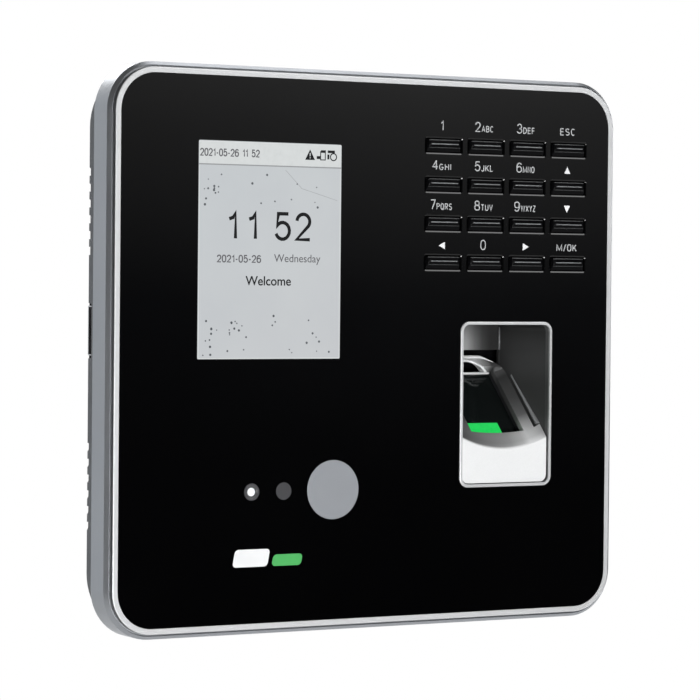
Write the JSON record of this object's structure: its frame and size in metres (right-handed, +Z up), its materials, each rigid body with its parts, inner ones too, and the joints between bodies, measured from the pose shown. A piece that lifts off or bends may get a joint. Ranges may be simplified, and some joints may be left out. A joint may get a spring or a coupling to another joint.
{
  "type": "fingerprint scanner terminal",
  "caption": "Wall-mounted access terminal with a recessed fingerprint sensor, bar keypad, portrait display and camera windows in a glossy black front.",
  "frame": {"origin": "centre of the wall plate's rear face, which is the centre of its four wall-screw holes", "axes": "+Z up, the front faces -Y, +X to the right of a person who faces the terminal, +Y into the wall"},
  "size_m": [0.16, 0.0328, 0.1516],
  "materials": {
    "panel_gloss": "polished",
    "rim_silver": "satin",
    "shell_silver": "metallic satin",
    "cover_grey": "fine texture",
    "screen": "lit display under a clear window",
    "display_parts": "display cell",
    "lens_clear": "polished",
    "lens_dark": "polished",
    "lens_barrel": "matte",
    "diffuser": "frosted",
    "key_black": "polished",
    "key_rubber": "matte",
    "bezel_silver": "satin",
    "guide_silver": "metallic satin",
    "pocket_grey": "satin",
    "sensor_glass": "polished",
    "circuit_board": "solder mask",
    "chip_black": "moulded",
    "ribbon": "film",
    "led_white": "phosphor",
    "connector_black": "moulded",
    "plated_steel": "plated",
    "plate_steel": "zinc plated",
    "brass_insert": "knurled"
  },
  "bodies": {
    "wall_plate": {"wall_plate": "plate_steel"},
    "lock_screw": {"lock_screw": "plated_steel"},
    "terminal": {"lock_insert": "brass_insert", "front_panel": "panel_gloss", "trim_frame": "rim_silver", "front_housing": "shell_silver", "rear_cover": "cover_grey", "display_window": "screen", "display_cell": "display_parts", "display_backlight": "plated_steel", "display_flex": "ribbon", "camera_window": "lens_clear", "camera_barrel": "lens_barrel", "ir_window": "lens_dark", "ir_barrel": "lens_barrel", "camera_board": "circuit_board", "light_diffuser": "diffuser", "light_leds": "led_white", "light_board": "circuit_board", "key_mat": "key_rubber", "keypad_board": "circuit_board", "key_domes": "plated_steel", "keypad_ribbon": "ribbon", "finger_bezel": "bezel_silver", "finger_pocket": "pocket_grey", "finger_guide": "guide_silver", "finger_window": "sensor_glass", "finger_prism": "lens_clear", "finger_board": "circuit_board", "sensor_ribbon": "ribbon", "main_board": "circuit_board", "board_chips": "chip_black", "board_screws": "plated_steel", "housing_screws": "plated_steel", "network_jack": "connector_black", "wiring_header": "connector_black", "usb_shell": "plated_steel", "usb_tongue": "connector_black", "speaker": "chip_black", "backup_cell": "plated_steel", "tamper_housing": "connector_black", "reset_housing": "connector_black"},
    "tamper_plunger": {"tamper_plunger": "key_rubber"},
    "reset_button": {"reset_button": "key_rubber"},
    "key_left": {"key_left": "key_black"},
    "key_zero": {"key_zero": "key_black"},
    "key_right": {"key_right": "key_black"},
    "key_ok": {"key_ok": "key_black"},
    "key_seven": {"key_seven": "key_black"},
    "key_eight": {"key_eight": "key_black"},
    "key_nine": {"key_nine": "key_black"},
    "key_down": {"key_down": "key_black"},
    "key_four": {"key_four": "key_black"},
    "key_five": {"key_five": "key_black"},
    "key_six": {"key_six": "key_black"},
    "key_up": {"key_up": "key_black"},
    "key_one": {"key_one": "key_black"},
    "key_two": {"key_two": "key_black"},
    "key_three": {"key_three": "key_black"},
    "key_esc": {"key_esc": "key_black"}
  },
  "joints": [
    {"name": "terminal_lift", "type": "slide", "parent": "wall_plate", "child": "terminal", "axis": [0, 0, 1], "range_m": [0, 0.008]},
    {"name": "lock_screw_withdraw", "type": "slide", "parent": "wall_plate", "child": "lock_screw", "axis": [0, 0, -1], "range_m": [0, 0.009]},
    {"name": "tamper_press", "type": "slide", "parent": "terminal", "child": "tamper_plunger", "axis": [0, -1, 0], "range_m": [0, 0.0006], "stiffness_N_per_m": 400, "springref_m": -0.001},
    {"name": "reset_press", "type": "slide", "parent": "terminal", "child": "reset_button", "axis": [0, -1, 0], "range_m": [0, 0.0005], "stiffness_N_per_m": 500, "springref_m": -0.0005},
    {"name": "press_left", "type": "slide", "parent": "terminal", "child": "key_left", "axis": [0, 1, 0], "range_m": [0, 0.0008], "stiffness_N_per_m": 800, "springref_m": -0.0005},
    {"name": "press_zero", "type": "slide", "parent": "terminal", "child": "key_zero", "axis": [0, 1, 0], "range_m": [0, 0.0008], "stiffness_N_per_m": 800, "springref_m": -0.0005},
    {"name": "press_right", "type": "slide", "parent": "terminal", "child": "key_right", "axis": [0, 1, 0], "range_m": [0, 0.0008], "stiffness_N_per_m": 800, "springref_m": -0.0005},
    {"name": "press_ok", "type": "slide", "parent": "terminal", "child": "key_ok", "axis": [0, 1, 0], "range_m": [0, 0.0008], "stiffness_N_per_m": 800, "springref_m": -0.0005},
    {"name": "press_seven", "type": "slide", "parent": "terminal", "child": "key_seven", "axis": [0, 1, 0], "range_m": [0, 0.0008], "stiffness_N_per_m": 800, "springref_m": -0.0005},
    {"name": "press_eight", "type": "slide", "parent": "terminal", "child": "key_eight", "axis": [0, 1, 0], "range_m": [0, 0.0008], "stiffness_N_per_m": 800, "springref_m": -0.0005},
    {"name": "press_nine", "type": "slide", "parent": "terminal", "child": "key_nine", "axis": [0, 1, 0], "range_m": [0, 0.0008], "stiffness_N_per_m": 800, "springref_m": -0.0005},
    {"name": "press_down", "type": "slide", "parent": "terminal", "child": "key_down", "axis": [0, 1, 0], "range_m": [0, 0.0008], "stiffness_N_per_m": 800, "springref_m": -0.0005},
    {"name": "press_four", "type": "slide", "parent": "terminal", "child": "key_four", "axis": [0, 1, 0], "range_m": [0, 0.0008], "stiffness_N_per_m": 800, "springref_m": -0.0005},
    {"name": "press_five", "type": "slide", "parent": "terminal", "child": "key_five", "axis": [0, 1, 0], "range_m": [0, 0.0008], "stiffness_N_per_m": 800, "springref_m": -0.0005},
    {"name": "press_six", "type": "slide", "parent": "terminal", "child": "key_six", "axis": [0, 1, 0], "range_m": [0, 0.0008], "stiffness_N_per_m": 800, "springref_m": -0.0005},
    {"name": "press_up", "type": "slide", "parent": "terminal", "child": "key_up", "axis": [0, 1, 0], "range_m": [0, 0.0008], "stiffness_N_per_m": 800, "springref_m": -0.0005},
    {"name": "press_one", "type": "slide", "parent": "terminal", "child": "key_one", "axis": [0, 1, 0], "range_m": [0, 0.0008], "stiffness_N_per_m": 800, "springref_m": -0.0005},
    {"name": "press_two", "type": "slide", "parent": "terminal", "child": "key_two", "axis": [0, 1, 0], "range_m": [0, 0.0008], "stiffness_N_per_m": 800, "springref_m": -0.0005},
    {"name": "press_three", "type": "slide", "parent": "terminal", "child": "key_three", "axis": [0, 1, 0], "range_m": [0, 0.0008], "stiffness_N_per_m": 800, "springref_m": -0.0005},
    {"name": "press_esc", "type": "slide", "parent": "terminal", "child": "key_esc", "axis": [0, 1, 0], "range_m": [0, 0.0008], "stiffness_N_per_m": 800, "springref_m": -0.0005}
  ]
}
